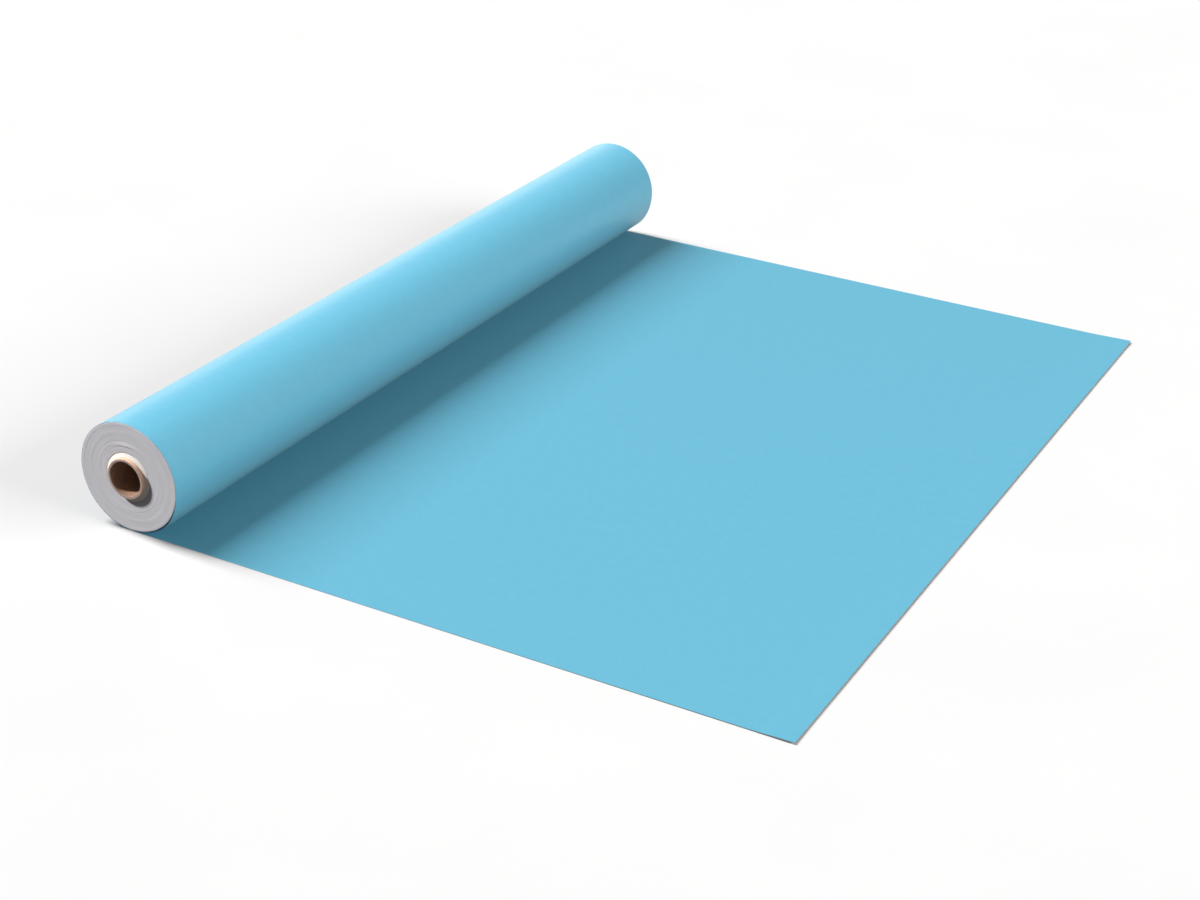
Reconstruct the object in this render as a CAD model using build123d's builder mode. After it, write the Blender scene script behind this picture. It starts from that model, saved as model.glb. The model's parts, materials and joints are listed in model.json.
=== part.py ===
from build123d import *
import math
import os

# Studio backdrop paper roll lying on the floor with part of its sheet unrolled.
# Frame: origin on the floor, under the roll's axis, halfway along the roll.
# +X runs along the unrolled sheet to its free edge, +Y along the roll's axis, +Z up.
# All sizes in millimetres.

# ---- driving dimensions ----
PAPER_WIDTH = 1350.0      # standard half-width backdrop roll (53 in)
PAPER_THICK = 0.25        # caliper of the paper
SHEET_LAID = 974.0        # unrolled length, from the roll's contact line to the free edge
SHEET_UNDER = 10.0        # how far the laid sheet reaches on under the roll before it turns up
ROLL_R = 80.0             # outside radius of the roll
CLEAR = 0.30              # clearance between bodies that move against each other
AXIS_Z = PAPER_THICK + CLEAR + ROLL_R

TURN_IN_R = ROLL_R - PAPER_THICK          # inside of the outermost turn
WOUND_R = TURN_IN_R - CLEAR               # outside of the wound paper

CORE_BORE_R = 25.4        # two-inch core
LINER_T = 0.5             # inner liner ply
BOARD_T = 1.0             # each of the three board plies
KRAFT_T = 0.5             # outer kraft ply
CORE_PROUD = 6.5          # core stands proud of the paper at each end
CORE_LENGTH = PAPER_WIDTH + 2 * CORE_PROUD
CORE_R = CORE_BORE_R + LINER_T + 3 * BOARD_T + KRAFT_T

LEADER_T = 6.0            # white leader paper wound on the core first
LEADER_PROUD = 1.3        # the leader's innermost turn stands out beyond the face
DISH_DEPTH = 0.3          # its outermost turn, and the wound turns next to it, sit back
LEADER_R = CORE_R + LEADER_T
DISH_R = LEADER_R + 2.1   # outer radius of that shallow dish

TAPE_T = 0.12             # tape that holds the paper's inner end to the leader
TAPE_ARC = 50.0           # degrees of the core that each strip covers
TAPE_WIDTH = 48.0
TAPE_Y = (-520.0, 0.0, 520.0)

# loose outermost turn: how far it stands off the roll at each angle
# (degrees, 0 is +X, -90 is straight down)
LOOSE = ((-14.0, 0.20), (-24.0, 0.90), (-34.0, 1.65), (-44.0, 2.05),
         (-54.0, 2.00), (-64.0, 1.55), (-73.0, 0.90), (-82.0, 0.28))
LOOSE_TOP = -4.0          # the turn is tight above this angle

END = Plane(origin=(0, 0, AXIS_Z), x_dir=(1, 0, 0), z_dir=(0, -1, 0))

os.makedirs("parts", exist_ok=True)


def polar(r, deg):
    a = math.radians(deg)
    return (r * math.cos(a), r * math.sin(a))


def tangent(deg):
    """Direction of travel going round clockwise, from the top right to the bottom."""
    a = math.radians(deg)
    return (math.sin(a), -math.cos(a))


# ---- the sheet that lies on the floor ----
with BuildPart() as laid_sheet:
    with BuildSketch(Plane.XY):
        with Locations(((SHEET_LAID - SHEET_UNDER) / 2, 0)):
            Rectangle(SHEET_LAID + SHEET_UNDER, PAPER_WIDTH)
    extrude(amount=PAPER_THICK)

# ---- outermost turn: tight up the back and over the top, loose at the lower front ----
with BuildPart() as outer_turn:
    with BuildSketch(END):
        for r, cut in ((ROLL_R, Mode.ADD), (TURN_IN_R, Mode.SUBTRACT)):
            with BuildLine():
                CenterArc((0, 0), r, LOOSE_TOP, 360 - (90 + LOOSE_TOP))
                pts = [polar(r, LOOSE_TOP)] + [polar(r + g, a) for a, g in LOOSE] + [(0, -r)]
                Spline(*pts, tangents=(tangent(LOOSE_TOP), (-1, 0)))
            make_face(mode=cut)
    extrude(amount=PAPER_WIDTH / 2, both=True)

# ---- tape strips: arcs laid on the leader, one at the middle and one near each end ----
with BuildPart() as start_tape:
    for y in TAPE_Y:
        with BuildSketch(END.offset(-y)):
            with BuildLine():
                a0 = 90 - TAPE_ARC / 2
                CenterArc((0, 0), LEADER_R + TAPE_T, a0, TAPE_ARC)
                Line(polar(LEADER_R + TAPE_T, a0 + TAPE_ARC), polar(LEADER_R, a0 + TAPE_ARC))
                CenterArc((0, 0), LEADER_R, a0, TAPE_ARC)
                Line(polar(LEADER_R, a0), polar(LEADER_R + TAPE_T, a0))
            make_face()
        extrude(amount=TAPE_WIDTH / 2, both=True)

# ---- wound paper: the turns still on the core, dished at both ends next to the leader,
# with a pocket over each tape strip ----
HALF = PAPER_WIDTH / 2
with BuildPart() as wound_paper:
    with BuildSketch(Plane(origin=(0, 0, AXIS_Z), x_dir=(1, 0, 0), z_dir=(0, 0, 1))):
        with BuildLine():
            Polyline(
                (LEADER_R, -HALF + DISH_DEPTH),
                (DISH_R, -HALF),
                (WOUND_R, -HALF),
                (WOUND_R, HALF),
                (DISH_R, HALF),
                (LEADER_R, HALF - DISH_DEPTH),
                close=True,
            )
        make_face()
    revolve(axis=Axis((0, 0, AXIS_Z), (0, 1, 0)), revolution_arc=360)
    add(start_tape.part, mode=Mode.SUBTRACT)

# ---- white leader paper wound on the core, its turns stepping out to a cone at each end ----
with BuildPart() as white_leader_wrap:
    with BuildSketch(Plane(origin=(0, 0, AXIS_Z), x_dir=(1, 0, 0), z_dir=(0, 0, 1))):
        with BuildLine():
            Polyline(
                (CORE_R, -HALF - LEADER_PROUD),
                (LEADER_R, -HALF + DISH_DEPTH),
                (LEADER_R, HALF - DISH_DEPTH),
                (CORE_R, HALF + LEADER_PROUD),
                close=True,
            )
        make_face()
    revolve(axis=Axis((0, 0, AXIS_Z), (0, 1, 0)), revolution_arc=360)

# ---- spiral-wound core: liner, three board plies and the outer kraft ply ----
with BuildPart() as core_inner_liner:
    with BuildSketch(END):
        Circle(CORE_BORE_R + LINER_T)
        Circle(CORE_BORE_R, mode=Mode.SUBTRACT)
    extrude(amount=CORE_LENGTH / 2, both=True)

R1 = CORE_BORE_R + LINER_T
with BuildPart() as core_board_ply_1:
    with BuildSketch(END):
        Circle(R1 + BOARD_T)
        Circle(R1, mode=Mode.SUBTRACT)
    extrude(amount=CORE_LENGTH / 2, both=True)

R2 = R1 + BOARD_T
with BuildPart() as core_board_ply_2:
    with BuildSketch(END):
        Circle(R2 + BOARD_T)
        Circle(R2, mode=Mode.SUBTRACT)
    extrude(amount=CORE_LENGTH / 2, both=True)

R3 = R2 + BOARD_T
with BuildPart() as core_board_ply_3:
    with BuildSketch(END):
        Circle(R3 + BOARD_T)
        Circle(R3, mode=Mode.SUBTRACT)
    extrude(amount=CORE_LENGTH / 2, both=True)

with BuildPart() as core_outer_kraft:
    with BuildSketch(END):
        Circle(CORE_R)
        Circle(CORE_R - KRAFT_T, mode=Mode.SUBTRACT)
    extrude(amount=CORE_LENGTH / 2, both=True)

# ---- labels and files ----
laid_sheet.part.label = "laid_sheet"
export_step(laid_sheet.part, "parts/laid_sheet.step")
outer_turn.part.label = "outer_turn"
export_step(outer_turn.part, "parts/outer_turn.step")
wound_paper.part.label = "wound_paper"
export_step(wound_paper.part, "parts/wound_paper.step")
start_tape.part.label = "start_tape"
export_step(start_tape.part, "parts/start_tape.step")
white_leader_wrap.part.label = "white_leader_wrap"
export_step(white_leader_wrap.part, "parts/white_leader_wrap.step")
core_inner_liner.part.label = "core_inner_liner"
export_step(core_inner_liner.part, "parts/core_inner_liner.step")
core_board_ply_1.part.label = "core_board_ply_1"
export_step(core_board_ply_1.part, "parts/core_board_ply_1.step")
core_board_ply_2.part.label = "core_board_ply_2"
export_step(core_board_ply_2.part, "parts/core_board_ply_2.step")
core_board_ply_3.part.label = "core_board_ply_3"
export_step(core_board_ply_3.part, "parts/core_board_ply_3.step")
core_outer_kraft.part.label = "core_outer_kraft"
export_step(core_outer_kraft.part, "parts/core_outer_kraft.step")
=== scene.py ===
import json
import math

import bmesh
import bpy
import numpy as np
from mathutils import Matrix, Vector

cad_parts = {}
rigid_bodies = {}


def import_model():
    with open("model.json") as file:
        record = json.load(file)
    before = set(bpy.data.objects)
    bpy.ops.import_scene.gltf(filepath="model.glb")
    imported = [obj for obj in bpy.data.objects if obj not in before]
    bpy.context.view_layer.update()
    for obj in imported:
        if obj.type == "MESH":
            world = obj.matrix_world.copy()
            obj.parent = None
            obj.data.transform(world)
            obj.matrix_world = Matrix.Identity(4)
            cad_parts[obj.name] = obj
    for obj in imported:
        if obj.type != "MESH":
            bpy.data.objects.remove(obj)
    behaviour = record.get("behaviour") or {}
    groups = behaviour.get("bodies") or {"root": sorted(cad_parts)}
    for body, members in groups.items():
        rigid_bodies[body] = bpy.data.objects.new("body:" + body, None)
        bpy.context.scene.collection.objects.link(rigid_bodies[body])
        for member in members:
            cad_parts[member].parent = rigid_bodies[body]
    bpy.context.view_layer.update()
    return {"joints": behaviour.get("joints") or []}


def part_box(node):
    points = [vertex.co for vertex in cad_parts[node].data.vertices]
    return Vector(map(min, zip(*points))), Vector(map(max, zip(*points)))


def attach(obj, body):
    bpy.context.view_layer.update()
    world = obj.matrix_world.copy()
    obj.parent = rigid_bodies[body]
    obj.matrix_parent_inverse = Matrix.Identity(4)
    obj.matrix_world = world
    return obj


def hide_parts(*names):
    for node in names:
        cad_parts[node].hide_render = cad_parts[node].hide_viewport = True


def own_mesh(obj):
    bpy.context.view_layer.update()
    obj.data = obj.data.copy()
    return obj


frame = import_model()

MM = 0.001

# ------------------------------------------------------------------ sizes, from the frame
spin = next(j for j in frame["joints"] if j["name"] == "roll_spin")
AXIS_Z = float(spin["pos_m"][2])
sheet_lo, sheet_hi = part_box("laid_sheet")
EDGE_X = float(sheet_hi.x)
UNDER = float(-sheet_lo.x)
HALF = float(sheet_hi.y)
PAPER = float(sheet_hi.z - sheet_lo.z)
core_lo, core_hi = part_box("core_outer_kraft")
CORE_END = float(core_hi.y)
ROLL_R = 80.0 * MM
WOUND_R = 79.40 * MM
BORE_R = 25.4 * MM
CORE_R = 29.4 * MM
LEADER_R = 35.4 * MM
DISH_R = 37.5 * MM
DISH = 0.3 * MM
LEADER_PROUD = 1.3 * MM


def smooth(t):
    t = np.clip(t, 0.0, 1.0)
    return t * t * (3 - 2 * t)


# ------------------------------------------------------------------ mesh helpers
def build(name, verts, faces, mats, sharp=35.0, uvs=None, face_mats=None, recalc=True):
    """A closed mesh object from vertices and faces. uvs is one (u, v) per face corner, in the faces' order."""
    me = bpy.data.meshes.new(name)
    me.from_pydata(np.asarray(verts, float).tolist(), [], [list(map(int, f)) for f in faces])
    if uvs is not None:
        layer = me.uv_layers.new(name="OFBake")
        layer.data.foreach_set("uv", np.asarray(uvs, np.float32).ravel())
    for m in mats:
        me.materials.append(m)
    if face_mats is not None:
        me.polygons.foreach_set("material_index", np.asarray(face_mats, np.int32))
    if recalc:
        bm = bmesh.new()
        bm.from_mesh(me)
        bmesh.ops.recalc_face_normals(bm, faces=bm.faces)
        bm.to_mesh(me)
        bm.free()
    me.polygons.foreach_set("use_smooth", np.ones(len(me.polygons), bool))
    me.set_sharp_from_angle(angle=math.radians(sharp))
    me.update()
    ob = bpy.data.objects.new(name, me)
    bpy.context.scene.collection.objects.link(ob)
    return ob


# ------------------------------------------------------------------ material helpers
class Mat:
    """A node material with a short way to add and join nodes."""

    def __init__(self, name):
        self.m = bpy.data.materials.new(name)
        self.m.use_nodes = True
        self.nt = self.m.node_tree
        self.bsdf = next(n for n in self.nt.nodes if n.type == "BSDF_PRINCIPLED")
        self.coord = self.nt.nodes.new("ShaderNodeTexCoord").outputs["Object"]

    def put(self, socket, value):
        if isinstance(value, bpy.types.NodeSocket):
            self.nt.links.new(value, socket)
        else:
            socket.default_value = value

    def math(self, op, a, b=0.0, c=None, clamp=False):
        n = self.nt.nodes.new("ShaderNodeMath")
        n.operation = op
        n.use_clamp = clamp
        self.put(n.inputs[0], a)
        self.put(n.inputs[1], b)
        if c is not None:
            self.put(n.inputs[2], c)
        return n.outputs[0]

    def noise(self, vector, scale, detail=2.0, rough=0.5, distortion=0.0):
        n = self.nt.nodes.new("ShaderNodeTexNoise")
        n.noise_dimensions = "3D"
        self.put(n.inputs["Vector"], vector)
        n.inputs["Scale"].default_value = scale
        n.inputs["Detail"].default_value = detail
        n.inputs["Roughness"].default_value = rough
        n.inputs["Distortion"].default_value = distortion
        return n.outputs["Fac"]

    def stretch(self, vector, sx, sy, sz, rot=(0, 0, 0)):
        n = self.nt.nodes.new("ShaderNodeMapping")
        self.put(n.inputs["Vector"], vector)
        n.inputs["Scale"].default_value = (sx, sy, sz)
        n.inputs["Rotation"].default_value = rot
        return n.outputs["Vector"]

    def ramp(self, fac, stops):
        n = self.nt.nodes.new("ShaderNodeValToRGB")
        self.put(n.inputs["Fac"], fac)
        e = n.color_ramp.elements
        while len(e) < len(stops):
            e.new(0.5)
        for el, (pos, col) in zip(e, stops):
            el.position = pos
            el.color = (*col, 1) if len(col) == 3 else col
        return n.outputs["Color"]

    def mix(self, fac, a, b, blend="MIX"):
        n = self.nt.nodes.new("ShaderNodeMix")
        n.data_type = "RGBA"
        n.blend_type = blend
        self.put(n.inputs["Factor"], fac)
        self.put(n.inputs["A"], (*a, 1) if isinstance(a, tuple) and len(a) == 3 else a)
        self.put(n.inputs["B"], (*b, 1) if isinstance(b, tuple) and len(b) == 3 else b)
        return n.outputs["Result"]

    def bump(self, height, distance, strength=1.0):
        n = self.nt.nodes.new("ShaderNodeBump")
        self.put(n.inputs["Height"], height)
        n.inputs["Distance"].default_value = distance
        n.inputs["Strength"].default_value = strength
        self.nt.links.new(n.outputs["Normal"], self.bsdf.inputs["Normal"])

    def polar(self):
        """(radius, cos, sin) about the roll's axis."""
        n = self.nt.nodes.new("ShaderNodeSeparateXYZ")
        self.put(n.inputs[0], self.coord)
        x, z = n.outputs["X"], self.math("SUBTRACT", n.outputs["Z"], AXIS_Z)
        r = self.math("SQRT", self.math("ADD", self.math("MULTIPLY", x, x), self.math("MULTIPLY", z, z)))
        return r, self.math("DIVIDE", x, r), self.math("DIVIDE", z, r), n.outputs["Y"]

    def vec(self, x, y, z):
        n = self.nt.nodes.new("ShaderNodeCombineXYZ")
        self.put(n.inputs[0], x)
        self.put(n.inputs[1], y)
        self.put(n.inputs[2], z)
        return n.outputs[0]

    def spread(self, fac, low, high):
        """fac from 0..1 to low..high."""
        return self.math("ADD", self.math("MULTIPLY", fac, high - low), low)


def blue_paper(name, tone=1.0):
    """Matt uncoated backdrop paper: fine pulp formation, short fibres and a fine tooth."""
    t = Mat(name)
    cloud = t.noise(t.coord, 70.0, 3.0, 0.55)            # formation, about 14 mm
    fine = t.noise(t.coord, 420.0, 4.0, 0.6)             # pulp, about 2 mm
    fibre = t.noise(t.stretch(t.coord, 1.0, 0.22, 1.0), 2600.0, 2.0, 0.5)
    deep, mid, pale = (0.150, 0.537, 0.738), (0.160, 0.550, 0.751), (0.175, 0.565, 0.765)
    col = t.ramp(t.math("ADD", t.math("MULTIPLY", cloud, 0.35), t.math("MULTIPLY", fine, 0.65)),
                 [(0.36, tuple(c * tone for c in deep)), (0.5, tuple(c * tone for c in mid)),
                  (0.66, tuple(c * tone for c in pale))])
    fleck = t.math("GREATER_THAN", fibre, 0.715)
    col = t.mix(t.math("MULTIPLY", fleck, 0.30), col, (0.36, 0.68, 0.83))
    t.put(t.bsdf.inputs["Base Color"], col)
    t.put(t.bsdf.inputs["Roughness"], t.spread(fine, 0.40, 0.52))
    t.bsdf.inputs["IOR"].default_value = 1.5
    t.bsdf.inputs["Specular IOR Level"].default_value = 0.5
    t.bsdf.inputs["Sheen Weight"].default_value = 0.10
    t.bsdf.inputs["Sheen Roughness"].default_value = 0.35
    t.bump(t.math("ADD", t.math("MULTIPLY", fibre, 0.6), t.math("MULTIPLY", fine, 0.8)), 0.00005, 0.55)
    return t.m


def paper_edges(name, base, contrast, tint, pitch):
    """Cut edges of wound paper: every turn a slightly different grey, with broad soft rings."""
    t = Mat(name)
    r, c, s, y = t.polar()
    turn = t.noise(t.vec(t.math("MULTIPLY", r, 1.0 / pitch), t.math("MULTIPLY", c, 2.6), t.math("MULTIPLY", s, 2.6)), 1.0, 1.0, 0.5)
    band = t.noise(t.vec(t.math("MULTIPLY", r, 620.0), t.math("MULTIPLY", c, 1.1), t.math("MULTIPLY", s, 1.1)), 1.0, 2.0, 0.55)
    wide = t.noise(t.vec(t.math("MULTIPLY", r, 130.0), t.math("MULTIPLY", c, 0.8), t.math("MULTIPLY", s, 0.8)), 1.0, 1.0, 0.5)
    pulp = t.noise(t.coord, 1500.0, 3.0, 0.6)
    mixf = t.math("ADD", t.math("MULTIPLY", turn, 0.42), t.math("ADD", t.math("MULTIPLY", band, 0.26),
                  t.math("ADD", t.math("MULTIPLY", wide, 0.14), t.math("MULTIPLY", pulp, 0.18))))
    lo = tuple(v * (1 - contrast) for v in base)
    hi = tuple(min(1.0, v * (1 + contrast)) for v in base)
    col = t.ramp(mixf, [(0.33, lo), (0.5, base), (0.67, hi)])
    nick = t.noise(t.vec(t.math("MULTIPLY", r, 900.0), t.math("MULTIPLY", c, 26.0), t.math("MULTIPLY", s, 26.0)), 1.0, 1.0, 0.5)
    col = t.mix(t.math("MULTIPLY", t.math("GREATER_THAN", nick, 0.70), 0.35), col, tint)
    t.put(t.bsdf.inputs["Base Color"], col)
    t.put(t.bsdf.inputs["Roughness"], t.spread(pulp, 0.72, 0.92))
    t.bsdf.inputs["Specular IOR Level"].default_value = 0.3
    t.bump(t.math("ADD", t.math("MULTIPLY", turn, 0.8), t.math("MULTIPLY", pulp, 0.5)), 0.00004, 0.5)
    return t.m


def board(name, dark, base, pale, rough=(0.72, 0.9), lines=0.0, pitch_axis=3.2):
    """Raw kraft or grey board: long pulp fibres, darker specks and a soft nap."""
    t = Mat(name)
    r, c, s, y = t.polar()
    wrap = t.vec(t.math("MULTIPLY", c, 0.026), t.math("MULTIPLY", y, pitch_axis), t.math("MULTIPLY", s, 0.026))
    streak = t.noise(wrap, 120.0, 4.0, 0.62)
    fibre = t.noise(t.stretch(t.coord, 1.0, 1.0, 1.0), 900.0, 4.0, 0.65)
    speck = t.noise(t.coord, 2400.0, 1.0, 0.5)
    col = t.ramp(t.math("ADD", t.math("MULTIPLY", streak, 0.45), t.math("MULTIPLY", fibre, 0.55)),
                 [(0.33, dark), (0.5, base), (0.68, pale)])
    col = t.mix(t.math("MULTIPLY", t.math("GREATER_THAN", speck, 0.70), 0.45), col, tuple(v * 0.45 for v in dark))
    if lines:
        ply = t.noise(t.vec(t.math("MULTIPLY", r, 5200.0), t.math("MULTIPLY", c, 9.0), t.math("MULTIPLY", s, 9.0)), 1.0, 1.0, 0.5)
        col = t.mix(t.math("MULTIPLY", ply, lines), col, tuple(v * 0.6 for v in dark))
    t.put(t.bsdf.inputs["Base Color"], col)
    t.put(t.bsdf.inputs["Roughness"], t.spread(fibre, *rough))
    t.bsdf.inputs["Specular IOR Level"].default_value = 0.35
    t.bsdf.inputs["Sheen Weight"].default_value = 0.08
    t.bsdf.inputs["Sheen Roughness"].default_value = 0.5
    t.bump(t.math("ADD", t.math("MULTIPLY", fibre, 1.0), t.math("MULTIPLY", streak, 0.5)), 0.00009, 0.6)
    return t.m


def cut_edge(name):
    """The guillotined edge of one sheet: the pale body of the paper between its two coloured faces."""
    t = Mat(name)
    grain = t.noise(t.coord, 1800.0, 3.0, 0.6)
    col = t.ramp(grain, [(0.35, (0.33, 0.40, 0.44)), (0.65, (0.47, 0.52, 0.55))])
    t.put(t.bsdf.inputs["Base Color"], col)
    t.put(t.bsdf.inputs["Roughness"], t.spread(grain, 0.7, 0.9))
    return t.m


def masking_tape(name):
    t = Mat(name)
    crepe = t.noise(t.stretch(t.coord, 1.0, 0.25, 1.0), 1700.0, 3.0, 0.6)
    soft = t.noise(t.coord, 160.0, 2.0, 0.5)
    col = t.ramp(t.math("ADD", t.math("MULTIPLY", crepe, 0.6), t.math("MULTIPLY", soft, 0.4)),
                 [(0.35, (0.60, 0.50, 0.33)), (0.5, (0.72, 0.63, 0.45)), (0.66, (0.80, 0.72, 0.55))])
    t.put(t.bsdf.inputs["Base Color"], col)
    t.put(t.bsdf.inputs["Roughness"], t.spread(crepe, 0.5, 0.7))
    t.bump(crepe, 0.00006, 0.8)
    return t.m


BLUE = blue_paper("blue_paper")
CUT = cut_edge("paper_cut_edge")
EDGES = paper_edges("paper_edges", (0.405, 0.400, 0.420), 0.15, (0.31, 0.34, 0.39), 0.00025)
WHITE = paper_edges("white_paper", (0.58, 0.565, 0.535), 0.07, (0.47, 0.455, 0.43), 0.00025)
LINER = board("dark_kraft", (0.26, 0.150, 0.10), (0.35, 0.21, 0.14), (0.44, 0.285, 0.20))
GREY = board("grey_board", (0.33, 0.25, 0.21), (0.47, 0.37, 0.33), (0.60, 0.50, 0.46), lines=0.5)
KRAFT = board("kraft", (0.46, 0.26, 0.16), (0.64, 0.39, 0.26), (0.76, 0.50, 0.36))
TAPE = masking_tape("tape")


# ------------------------------------------------------------------ laid sheet
def spacing(first, end, grow, step, cap):
    """Distances from an edge inwards: fine at first, growing to step."""
    out, d = [0.0], first
    while out[-1] < cap:
        out.append(out[-1] + d)
        d = min(d * grow, step)
    return out


def sheet_axis(lo, hi, step):
    near = spacing(1.2 * MM, 0, 1.5, step, 0.07)
    mid = np.linspace(lo + near[-1], hi - near[-1], max(2, int(round((hi - lo - 2 * near[-1]) / step)) + 1))
    return np.concatenate([lo + np.array(near[:-1]), mid, hi - np.array(near[:-1][::-1])])


def sheet_lift(x, y):
    """How far the sheet's underside stands off the floor: a little memory curl at the free end and softly rising side edges."""
    u = np.clip(x / EDGE_X, 0.0, 1.0)
    curl = 1.6 * smooth((x - (EDGE_X - 0.085)) / 0.085) ** 1.6
    side = (HALF - np.abs(y)) / 0.030
    rim = np.exp(-side * side) * (0.60 + 0.18 * np.sin(7.3 * x + np.where(y > 0, 1.1, 2.9))) * u ** 3
    swell = 0.11 * (1 + np.sin(5.1 * x + 2.3 * y + 0.6) * np.cos(3.7 * y - 1.9 * x)) * u ** 2
    fine = 0.02 * (1 + np.sin(23.0 * x + 9.0 * y) * np.sin(17.0 * y - 6.0 * x + 1.3)) * u ** 2
    return (curl + rim + swell + fine) * MM


sx = sheet_axis(-UNDER, EDGE_X, 0.013)
sy = sheet_axis(-HALF, HALF, 0.0155)
gx, gy = np.meshgrid(sx, sy, indexing="ij")
low = sheet_lift(gx, gy)
nx, ny = gx.shape
bottom = np.stack([gx, gy, low], -1).reshape(-1, 3)
top = bottom + np.array([0, 0, PAPER])
ids = np.arange(nx * ny).reshape(nx, ny)
quad = np.stack([ids[:-1, :-1], ids[1:, :-1], ids[1:, 1:], ids[:-1, 1:]], -1).reshape(-1, 4)
ring = np.concatenate([ids[:, 0], ids[-1, 1:], ids[-2::-1, -1], ids[0, -2:0:-1]])
nxt = np.roll(ring, -1)
n0 = nx * ny
rim_q = np.stack([ring, nxt, nxt + n0, ring + n0], -1)
sheet = build("backdrop_sheet", np.concatenate([bottom, top]),
              np.concatenate([quad[:, ::-1], quad + n0, rim_q]), [BLUE, CUT], sharp=50,
              face_mats=np.repeat([0, 1], [2 * len(quad), len(rim_q)]))
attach(sheet, "floor_sheet")
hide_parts("laid_sheet")
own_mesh(sheet)

# ------------------------------------------------------------------ loose outermost turn
LOOSE = [(-90, 0.0), (-82, 0.28), (-73, 0.90), (-64, 1.55), (-54, 2.00), (-44, 2.05), (-34, 1.65),
         (-24, 0.90), (-14, 0.20), (-4, 0.0)]


def catmull(xs, ys, x):
    """Smooth curve through the points, flat at both ends."""
    xs, ys = np.asarray(xs, float), np.asarray(ys, float)
    m = np.gradient(ys, xs)
    m[0] = m[-1] = 0
    i = np.clip(np.searchsorted(xs, x) - 1, 0, len(xs) - 2)
    h = xs[i + 1] - xs[i]
    t = np.clip((x - xs[i]) / h, 0, 1)
    return ((2 * t**3 - 3 * t**2 + 1) * ys[i] + (t**3 - 2 * t**2 + t) * h * m[i]
            + (-2 * t**3 + 3 * t**2) * ys[i + 1] + (t**3 - t**2) * h * m[i + 1])


deg = np.concatenate([np.linspace(-90, 0, 61), np.linspace(0, 250, 121)[1:], np.linspace(250, 270, 17)[1:]])
loose = np.where(deg < -4, catmull([p[0] for p in LOOSE], [p[1] for p in LOOSE], deg), 0.0)
mid_r = (79.575 + 0.30 * (deg + 90) / 360 + loose + 0.15 * smooth((deg - 250) / 20)) * MM
rad = np.radians(deg)
px = np.concatenate([mid_r * np.cos(rad), np.array([2.5, 5.5, 9.0]) * MM])
pz = np.concatenate([AXIS_Z + mid_r * np.sin(rad), np.full(3, AXIS_Z + mid_r[-1] * math.sin(rad[-1]))])
tx, tz = np.gradient(px), np.gradient(pz)
tl = np.hypot(tx, tz)
nxv, nzv = tz / tl, -tx / tl                     # points away from the roll
ts = sheet_axis(-HALF, HALF, 0.045)
turn_f = np.concatenate([np.clip((deg + 90) / 360, 0, 1), np.ones(3)])
gi, gj = np.meshgrid(np.arange(len(px)), np.arange(len(ts)), indexing="ij")
yy = ts[gj]
# the cut edges wander a fraction of a millimetre as the turn goes round
wander = (0.22 * np.sin(6.283 * turn_f * 1.0 + 0.7) + 0.10 * np.sin(6.283 * turn_f * 3.0 + 2.0)) * MM
yy = yy + np.where(np.abs(yy) > HALF - 1e-6, np.sign(yy) * (wander[gi] - 0.10 * MM), 0.0)
# soft unevenness of the slack part along the roll, and a slight flare at the two ends of the loose part
slack = np.concatenate([loose / 2.05, np.zeros(3)])[gi]
off = (0.16 * np.sin(yy * 8.5 + 0.8) + 0.10 * np.sin(yy * 21.0 + 2.2)) * slack
off = off + 0.12 * slack * np.exp(-((HALF - np.abs(yy)) / 0.05) ** 2)
out_v = np.stack([px[gi] + nxv[gi] * (PAPER / 2 + off * MM), yy, pz[gi] + nzv[gi] * (PAPER / 2 + off * MM)], -1).reshape(-1, 3)
in_v = np.stack([px[gi] - nxv[gi] * (PAPER / 2 - off * MM), yy, pz[gi] - nzv[gi] * (PAPER / 2 - off * MM)], -1).reshape(-1, 3)
a, b = gi.shape
ids = np.arange(a * b).reshape(a, b)
quad = np.stack([ids[:-1, :-1], ids[1:, :-1], ids[1:, 1:], ids[:-1, 1:]], -1).reshape(-1, 4)
ring = np.concatenate([ids[:, 0], ids[-1, 1:], ids[-2::-1, -1], ids[0, -2:0:-1]])
nxt = np.roll(ring, -1)
n0 = a * b
turn = build("loose_outer_turn", np.concatenate([out_v, in_v]),
             np.concatenate([quad, quad[:, ::-1] + n0, np.stack([ring, ring + n0, nxt + n0, nxt], -1)]),
             [BLUE, CUT], sharp=50, face_mats=np.repeat([0, 1], [2 * len(quad), len(ring)]))
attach(turn, "running_turn")
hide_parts("outer_turn")


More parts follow.
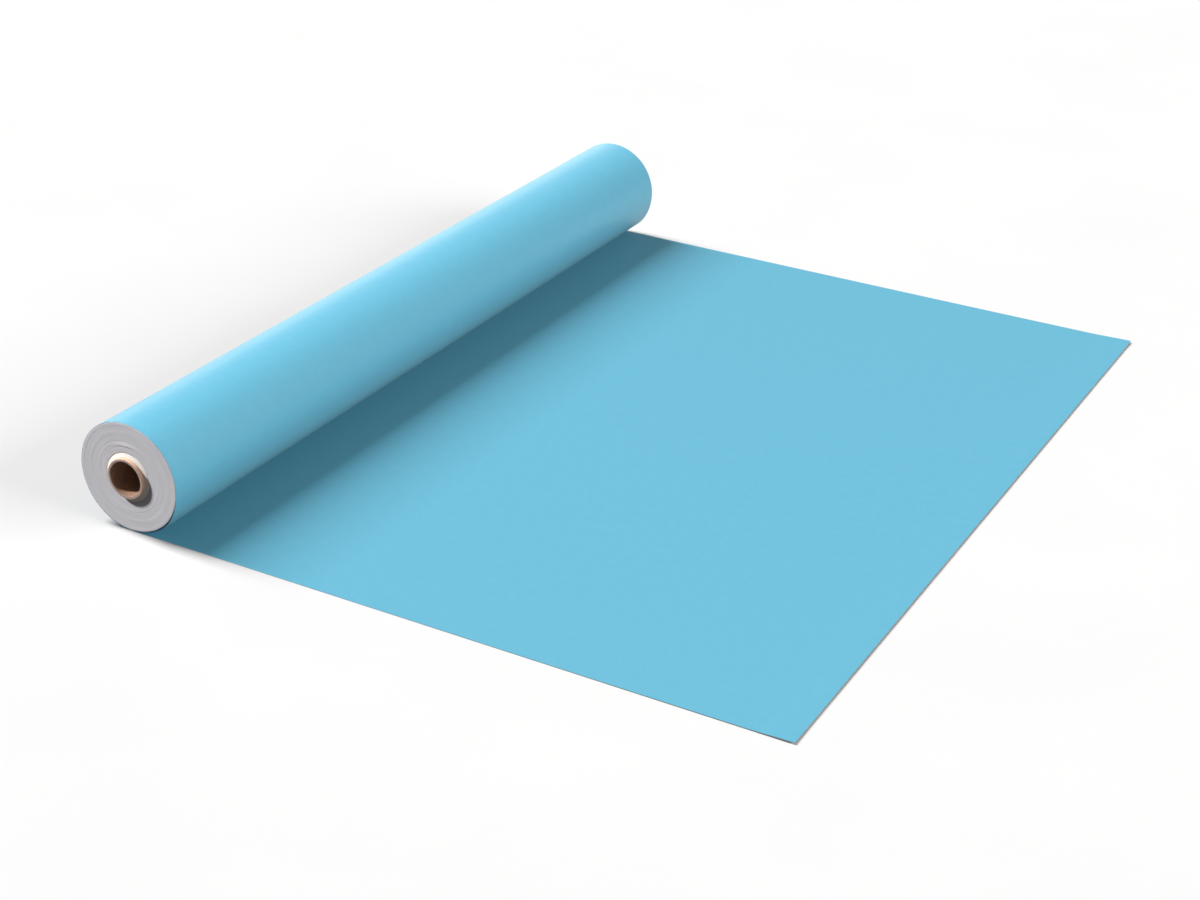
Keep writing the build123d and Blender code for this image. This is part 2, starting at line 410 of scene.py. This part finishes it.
# ------------------------------------------------------------------ wound turns, edge by edge
def wound(name, r_in, r_out, pitch, back, depth, mats, seed, n_ang=128, start_deg=-90.0, ease=0.0):
    """A solid of paper wound in a spiral: each turn's cut edge is its own ridge on both end faces.
    back(r, angle, end) is how far behind the face plane the edge lies, in metres. The hole is wider by
    ease away from the two ends."""
    turns = int(round((r_out - r_in) / pitch)) - 1
    pitch = (r_out - r_in) / (turns + 1)
    rng = np.random.default_rng(seed)
    chain_v = np.arange((turns + 1) * n_ang + 1)
    chain_c = np.arange(turns * n_ang + 1)
    total_v, total_c = len(chain_v), len(chain_c)

    def points(chain, phase, end, jitter):
        ang = math.radians(start_deg) + 2 * math.pi * chain / n_ang
        r = r_in + pitch * (chain / n_ang + phase)
        k = chain / n_ang + phase
        step = np.interp(k, np.arange(len(jitter)), jitter)
        yb = back(r, ang, end) + step + (depth if phase == 0 else 0.0)
        y = (-HALF + yb) if end == 0 else (HALF - yb)
        return np.stack([r * np.cos(ang), y, AXIS_Z + r * np.sin(ang)], -1)

    co = []
    for end in (0, 1):
        noise = rng.standard_normal(turns + 8)
        def blur(v, n):
            k = np.hanning(n + 2)[1:-1]
            return np.convolve(v, k / np.sqrt((k * k).sum()), "same")
        jitter = (0.010 * noise + 0.020 * blur(rng.standard_normal(turns + 8), 5)
                  + 0.045 * blur(rng.standard_normal(turns + 8), 25)) * MM
        co += [points(chain_v, 0.0, end, jitter), points(chain_c, 0.5, end, jitter)]
    for y_mid in (-HALF + 0.015, HALF - 0.015):
        lead = co[0][:n_ang + 1]
        rad_v = np.hypot(lead[:, 0], lead[:, 2] - AXIS_Z)
        f = (rad_v + ease) / rad_v
        co.append(np.stack([lead[:, 0] * f, np.full(n_ang + 1, y_mid), AXIS_Z + (lead[:, 2] - AXIS_Z) * f], -1))
    base = np.cumsum([0] + [len(c) for c in co])
    co = np.concatenate(co)
    faces, cat = [], []
    i = np.arange(turns * n_ang)
    for end in (0, 1):
        v, c = base[2 * end], base[2 * end + 1]
        q = np.concatenate([np.stack([v + i, v + i + 1, c + i + 1, c + i], -1),
                            np.stack([c + i, c + i + 1, v + i + 1 + n_ang, v + i + n_ang], -1)])
        faces.append(q)
        cat.append(np.full(len(q), end))
    j = np.arange(n_ang)
    v0, c0, v1, c1, m0, m1 = base[:6]
    inner = np.concatenate([np.stack([p + j, p + j + 1, q + j + 1, q + j], -1) for p, q in ((v0, m0), (m0, m1), (m1, v1))])
    o = turns * n_ang + j
    outer = np.stack([v0 + o, v0 + o + 1, v1 + o + 1, v1 + o], -1)
    e = turns * n_ang
    steps = np.array([[v0, c0, m0, m0], [m0, c0, c1, m1], [m1, c1, v1, v1],
                      [c0, v0 + n_ang, m0 + n_ang, m0 + n_ang], [c0, m0 + n_ang, m1 + n_ang, c1], [m1 + n_ang, v1 + n_ang, c1, c1],
                      [v0 + e, c0 + e, c1 + e, v1 + e], [c0 + e, v0 + e + n_ang, v1 + e + n_ang, c1 + e]])
    faces += [inner, outer, steps]
    cat += [np.full(len(inner), 2), np.full(len(outer), 3), np.full(len(steps), 4)]
    faces, cat = np.concatenate(faces), np.concatenate(cat)
    # bake layout: both end faces large, the hidden walls in a strip
    corner = co[faces]
    uv = np.zeros((len(faces), 4, 2))
    rr = r_out * 1.01
    for end, cx in ((0, 0.25), (1, 0.75)):
        m = cat == end
        uv[m, :, 0] = cx + 0.243 * corner[m, :, 0] / rr
        uv[m, :, 1] = 0.75 + 0.243 * (corner[m, :, 2] - AXIS_Z) / rr
    for c_id, v_lo, v_hi in ((2, 0.015, 0.155), (3, 0.17, 0.49)):
        m = cat == c_id
        n = int(m.sum())
        u = (np.arange(n)[:, None] + np.array([0, 1, 1, 0])) / n
        uv[m, :, 0] = 0.01 + 0.97 * u
        uv[m, :, 1] = np.where(np.array([0, 0, 1, 1]) == 0, v_lo, v_hi)
    m = cat == 4
    uv[m, :, 0] = 0.985 + 0.01 * np.array([0, 1, 1, 0])
    uv[m, :, 1] = 0.02 + 0.1 * np.array([0, 0, 1, 1])
    tri = faces[:, 2] == faces[:, 3]                 # the step's corner faces are triangles
    keep_c = np.ones(faces.shape, bool)
    keep_c[tri, 3] = False
    return build(name, co, [f[:3] if t3 else f for f, t3 in zip(faces.tolist(), tri.tolist())], mats, sharp=60,
                 uvs=uv[keep_c], face_mats=np.where(cat >= 3, min(1, len(mats) - 1), 0))


def roll_back(r, ang, end):
    t = np.clip((DISH_R - r) / (DISH_R - LEADER_R), 0, 1)
    dish = DISH * (0.5 * t + 0.5 * smooth(t))
    # turns that slipped slightly proud as the roll was wound, fading out part of the way round
    slip = 0.65 * MM * smooth((r - 45.6 * MM) / (0.5 * MM)) * smooth((52.0 * MM - r) / (5.5 * MM)) * np.exp(-((ang % 6.2832 - 1.50) / 0.42) ** 2)
    slip2 = 0.05 * MM * np.exp(-((r - 63.0 * MM) / (0.8 * MM)) ** 2) * (0.5 + 0.5 * np.cos(ang + 2.2 - end))
    rim = 0.12 * MM * smooth((r - 78.2 * MM) / (1.2 * MM))
    return dish - slip - slip2 + rim


def leader_back(r, ang, end):
    t = np.clip((r - CORE_R) / (LEADER_R - CORE_R), 0, 1)
    return -LEADER_PROUD + (LEADER_PROUD + DISH) * t + 0.04 * MM


roll_paper = wound("wound_turns", 35.42 * MM, WOUND_R, 0.25 * MM, roll_back, 0.045 * MM, [EDGES, BLUE], 11, ease=0.19 * MM)
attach(roll_paper, "roll")
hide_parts("wound_paper")

leader = wound("white_leader_turns", 29.44 * MM, 35.38 * MM, 0.25 * MM, leader_back, 0.035 * MM, [WHITE, WHITE], 5)
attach(leader, "roll")
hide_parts("white_leader_wrap")


# ------------------------------------------------------------------ core: helically wound plies
def ply(name, r_in, r_out, pitch, gap, hand, start, set_in, set_out, mat, node, slot_name, step=4.0):
    """One ply of the core: a single long strip wound in a helix and trimmed square at both ends.
    set_in and set_out round the tube's rim: how far the inner and outer corners sit back from the end."""
    L = CORE_END
    first, last = gap / pitch, (2 * L + pitch) / pitch
    turns = np.unique(np.concatenate([
        [first + 0.0012], np.arange(math.ceil(first * 360 / step) * step, last * 360, step) / 360,
        [1.0, (2 * L + gap) / pitch, last - 0.0012]]))
    turns = turns[(turns >= first + 0.001) & (turns <= last - 0.001)]
    keep = np.concatenate([[True], np.diff(turns) > 1e-5])
    turns = turns[keep]
    lo = -L - pitch + pitch * turns
    hi = lo + pitch - gap
    at_lo, at_hi = lo <= -L + 1e-9, hi >= L - 1e-9
    lo, hi = np.maximum(lo, -L), np.minimum(hi, L)
    ang = math.radians(start) + hand * 2 * math.pi * turns
    ca, sa = np.cos(ang), np.sin(ang)
    width = hi - lo

    def col(r, y):
        return np.stack([r * ca, y, AXIS_Z + r * sa], -1)

    # four rows across the strip on each face, so that the rounded rim is short
    def rows(r, setback):
        s = np.minimum(setback, width * 0.4)
        ya = lo + np.where(at_lo, s, 0.0)
        yb = hi - np.where(at_hi, s, 0.0)
        q = (yb - ya)
        return [col(r, ya), col(r, ya + np.minimum(q * 0.3, 1.5 * MM)), col(r, yb - np.minimum(q * 0.3, 1.5 * MM)), col(r, yb)]

    grid = rows(r_in, set_in) + rows(r_out, set_out)[::-1]
    n, k = len(turns), len(grid)
    co = np.stack(grid, 1).reshape(-1, 3)
    i = np.arange(n - 1)
    faces = [np.stack([i * k + j, (i + 1) * k + j, (i + 1) * k + (j + 1) % k, i * k + (j + 1) % k], -1) for j in range(k)]
    faces = [list(f) for f in np.concatenate(faces)]
    faces += [list(range(k))[::-1], [(n - 1) * k + j for j in range(k)]]
    ob = build(name, co, faces, [mat], sharp=40)
    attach(ob, "roll")
    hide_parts(node)
    return ob


ply("core_liner_strip", 25.40 * MM, 25.87 * MM, 0.112, 0.0005, 1, 20, 0.30 * MM, 0.04 * MM, LINER, "core_inner_liner", "dark_kraft")
ply("core_board_strip_1", 25.90 * MM, 26.87 * MM, 0.118, 0.0004, 1, 160, 0.05 * MM, 0.0, GREY, "core_board_ply_1", "grey_board")
ply("core_board_strip_2", 26.90 * MM, 27.87 * MM, 0.118, 0.0004, 1, 250, 0.03 * MM, 0.03 * MM, GREY, "core_board_ply_2", "grey_board")
ply("core_board_strip_3", 27.90 * MM, 28.87 * MM, 0.118, 0.0004, 1, 70, 0.0, 0.07 * MM, GREY, "core_board_ply_3", "grey_board")
ply("core_kraft_strip", 28.90 * MM, 29.40 * MM, 0.124, 0.0006, 1, 300, 0.12 * MM, 0.50 * MM, KRAFT, "core_outer_kraft", "kraft")

# ------------------------------------------------------------------ tape strips, torn at both ends
rng = np.random.default_rng(3)
tv, tf = [], []
for y0 in (-0.520, 0.0, 0.520):
    n_a, n_y = 28, 17
    ys = np.linspace(y0 - 0.0235, y0 + 0.0235, n_y)
    tear = [rng.uniform(-1.2, 1.2, n_y), rng.uniform(-1.2, 1.2, n_y)]
    start = len(tv)
    for r in (35.42 * MM, 35.54 * MM):
        for ia in range(n_a):
            f = ia / (n_a - 1)
            for iy in range(n_y):
                ang = math.radians(66 + tear[0][iy] + (48 + tear[1][iy] - tear[0][iy]) * f)
                tv.append((r * math.cos(ang), ys[iy], AXIS_Z + r * math.sin(ang)))
    n1 = n_a * n_y
    idx = np.arange(n1).reshape(n_a, n_y) + start
    q = np.stack([idx[:-1, :-1], idx[1:, :-1], idx[1:, 1:], idx[:-1, 1:]], -1).reshape(-1, 4)
    rg = np.concatenate([idx[:, 0], idx[-1, 1:], idx[-2::-1, -1], idx[0, -2:0:-1]])
    rn = np.roll(rg, -1)
    tf += q.tolist() + (q[:, ::-1] + n1).tolist() + np.stack([rg, rg + n1, rn + n1, rn], -1).tolist()
tape = build("start_tape_strips", tv, tf, [TAPE], sharp=50)
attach(tape, "roll")
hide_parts("start_tape")

# ------------------------------------------------------------------ floor, light and camera
floor_me = bpy.data.meshes.new("floor")
floor_me.from_pydata([(-30, -30, -0.0003), (30, -30, -0.0003), (30, 30, -0.0003), (-30, 30, -0.0003)], [], [(0, 1, 2, 3)])
floor = bpy.data.objects.new("floor", floor_me)
bpy.context.scene.collection.objects.link(floor)
fm = Mat("pale_floor")
fm.put(fm.bsdf.inputs["Base Color"], fm.ramp(fm.noise(fm.coord, 3.0, 3.0), [(0.3, (0.945, 0.945, 0.945)), (0.7, (0.965, 0.965, 0.965))]))
fm.bsdf.inputs["Roughness"].default_value = 0.9
fm.bsdf.inputs["Specular IOR Level"].default_value = 0.0
floor_me.materials.append(fm.m)
for ob in (floor, sheet, turn):                  # their bounced light would fill the shade beside the roll
    ob.visible_diffuse = False

world = bpy.data.worlds.new("studio")
scene = bpy.context.scene
scene.world = world
world.use_nodes = True
bg = next(n for n in world.node_tree.nodes if n.type == "BACKGROUND")
seen = world.node_tree.nodes.new("ShaderNodeLightPath").outputs["Is Camera Ray"]
gain = world.node_tree.nodes.new("ShaderNodeMath")      # a pale backdrop that gives little light of its own
gain.operation = "MULTIPLY_ADD"
world.node_tree.links.new(seen, gain.inputs[0])
gain.inputs[1].default_value, gain.inputs[2].default_value = 0.75, 0.15
world.node_tree.links.new(gain.outputs[0], bg.inputs["Strength"])
tint = world.node_tree.nodes.new("ShaderNodeMix")       # neutral to the camera, slightly warm as light
tint.data_type = "RGBA"
world.node_tree.links.new(seen, tint.inputs["Factor"])
tint.inputs[6].default_value, tint.inputs[7].default_value = (1.0, 0.955, 0.935, 1), (0.985, 0.99, 1.0, 1)
world.node_tree.links.new(tint.outputs[2], bg.inputs["Color"])


def softbox(name, to_light, distance, aim, long_side, short_side, k, long_axis):
    """A rectangular light. k is what a white card facing it at the aim point would show."""
    data = bpy.data.lights.new(name, "AREA")
    data.shape = "RECTANGLE"
    data.size, data.size_y = long_side, short_side
    data.energy = k * math.pi ** 2 * distance ** 2
    ob = bpy.data.objects.new(name, data)
    scene.collection.objects.link(ob)
    back = Vector(to_light).normalized()
    x_dir = (Vector(long_axis) - back * Vector(long_axis).dot(back)).normalized()
    y_dir = back.cross(x_dir)
    m = Matrix.Identity(4)
    at = Vector(aim) + back * distance
    for row in range(3):
        m[row][0], m[row][1], m[row][2], m[row][3] = x_dir[row], y_dir[row], back[row], at[row]
    ob.matrix_world = m
    return ob


TO_KEY = Vector((-0.669, 0.02, 0.743))
softbox("key_softbox", TO_KEY, 60.0, (0.25, -0.1, 0.0), 40.0, 9.0, 1.05, (0.743, 0, 0.669))
softbox("fill_softbox", (0.91, 0.14, 0.40), 24.0, (0.25, 0.0, 0.08), 16.0, 8.0, 0.47, (0, 1, 0))
rim = softbox("rim_softbox", (-0.60, 0.78, 0.13), 9.0, (0.0, 0.0, 0.10), 7.0, 2.2, 0.20, (0.78, 0.60, 0))
rim.visible_diffuse = False                     # a card seen only as a sheen along the roll

# a lamp held to the roll's outer turn
body = bpy.data.collections.new("lit_roll")
body.objects.link(turn)
over = softbox("roll_softbox", (0.60, -0.10, 0.75), 6.0, (0.0, 0.0, 0.10), 4.0, 1.5, 0.27, (0, 1, 0))
over.light_linking.receiver_collection = body
rim.light_linking.receiver_collection = body

# spots held to the roll's two ends, so that the core throws its own shadow on the wound edges
for label, names, power in (("paper", ("wound_turns", "white_leader", "start_tape"), 2.55), ("core", ("core_",), 1.55)):
    held = bpy.data.collections.new("lit_" + label)
    for ob in list(scene.collection.objects):
        if ob.name.startswith(names):
            held.objects.link(ob)
    for side in (-1, 1):
        spot_data = bpy.data.lights.new("end_spot", "SUN")
        spot_data.energy = math.pi * power
        spot_data.angle = math.radians(7)
        spot = bpy.data.objects.new("end_spot", spot_data)
        scene.collection.objects.link(spot)
        spot.rotation_euler = Vector((0.623, -0.366 * side, -0.692)).to_track_quat("-Z", "Y").to_euler()
        spot.light_linking.receiver_collection = held

cam_data = bpy.data.cameras.new("camera")
cam_data.sensor_fit = "HORIZONTAL"
cam_data.sensor_width = 36.0
cam_data.lens = 64.625
cam_data.clip_start, cam_data.clip_end = 0.05, 100.0
cam = bpy.data.objects.new("camera", cam_data)
bpy.context.scene.collection.objects.link(cam)
RIGHT = Vector((0.87596447, 0.48163561, 0.02670907))
DOWN = Vector((0.23797551, -0.38332324, -0.89242980))
AHEAD = Vector((-0.41958777, 0.78809290, -0.45039502))
m = Matrix.Identity(4)
for row in range(3):
    m[row][0], m[row][1], m[row][2] = RIGHT[row], -DOWN[row], -AHEAD[row]
    m[row][3] = (1.7397387, -2.61300968, 1.41788904)[row]
cam.matrix_world = m
bpy.context.scene.camera = cam

scene.view_settings.view_transform = "Standard"
scene.view_settings.look = "None"

bpy.context.view_layer.update()
